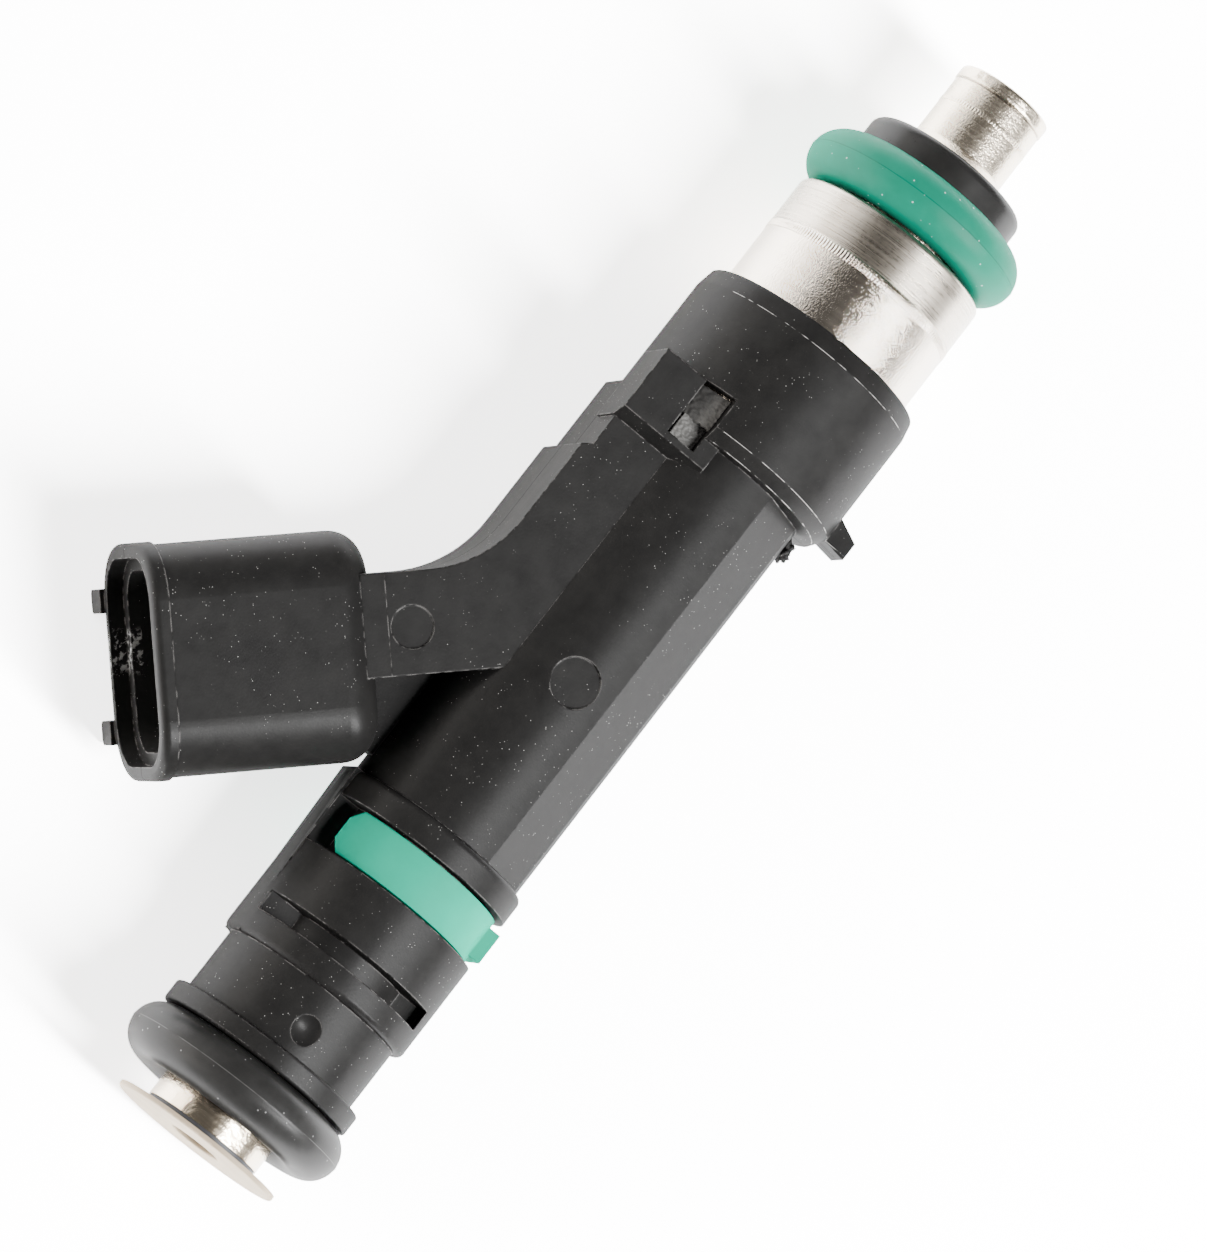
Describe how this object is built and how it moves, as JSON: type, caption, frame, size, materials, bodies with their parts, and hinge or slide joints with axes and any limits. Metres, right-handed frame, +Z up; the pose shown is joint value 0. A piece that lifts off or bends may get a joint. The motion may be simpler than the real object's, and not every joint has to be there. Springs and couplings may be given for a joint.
{
  "type": "fuel injector",
  "caption": "Top-feed port fuel injector with a steel nozzle end, side connector, colour clip, two O-ring seals and a solenoid needle that lifts.",
  "frame": {"origin": "centre of the spray tube's end face, on the injector's axis", "axes": "+X along the axis, out of the spray tip; +Y towards the side that the connector is on; +Z up, square to the mould's parting plane, with the injector lying on its side"},
  "size_m": [0.0772, 0.0334, 0.015],
  "materials": {
    "nylon_black": "glass-filled nylon, satin with fine flecks",
    "shell_steel": "turned and laser-welded stainless",
    "tip_steel": "fine turned stainless",
    "inlet_steel": "drawn stainless, warm tint",
    "cap_steel": "pressed stainless",
    "seal_green": "moulded fluoroelastomer, dusty",
    "seal_black": "moulded rubber",
    "retainer_black": "moulded nylon",
    "clip_green": "smooth moulded nylon",
    "bobbin_plastic": "natural glass-filled nylon",
    "copper_wire": "enamelled wire",
    "terminal_tin": "tin plated brass",
    "filter_plastic": "moulded nylon",
    "filter_gauze": "woven gauze",
    "spring_steel": "drawn spring wire",
    "magnetic_steel": "turned magnetic stainless",
    "ball_steel": "lapped hardened steel",
    "seat_steel": "ground hardened steel"
  },
  "bodies": {
    "injector_body": {"overmould_body": "nylon_black", "inlet_tube": "inlet_steel", "filter_cap": "cap_steel", "filter_basket": "filter_plastic", "filter_mesh": "filter_gauze", "inlet_o_ring": "seal_black", "nozzle_o_ring": "seal_green", "backup_ring": "retainer_black", "nozzle_tube": "tip_steel", "valve_body": "shell_steel", "steel_shell": "shell_steel", "flux_washer": "magnetic_steel", "nonmagnetic_sleeve": "magnetic_steel", "coil_bobbin": "bobbin_plastic", "coil_winding": "copper_wire", "terminal_a": "terminal_tin", "terminal_b": "terminal_tin", "colour_clip": "clip_green", "adjusting_sleeve": "magnetic_steel", "return_spring": "spring_steel", "valve_seat": "seat_steel", "ball_guide": "seat_steel", "orifice_plate": "seat_steel"},
    "needle_group": {"armature": "magnetic_steel", "valve_needle": "magnetic_steel", "valve_ball": "ball_steel"}
  },
  "joints": [
    {"name": "needle_lift", "type": "slide", "parent": "injector_body", "child": "needle_group", "axis": [-1, 0, 0], "range_m": [0, 0.0001], "stiffness_N_per_m": 2500, "springref_m": -0.0012, "deforming": ["return_spring"]}
  ]
}
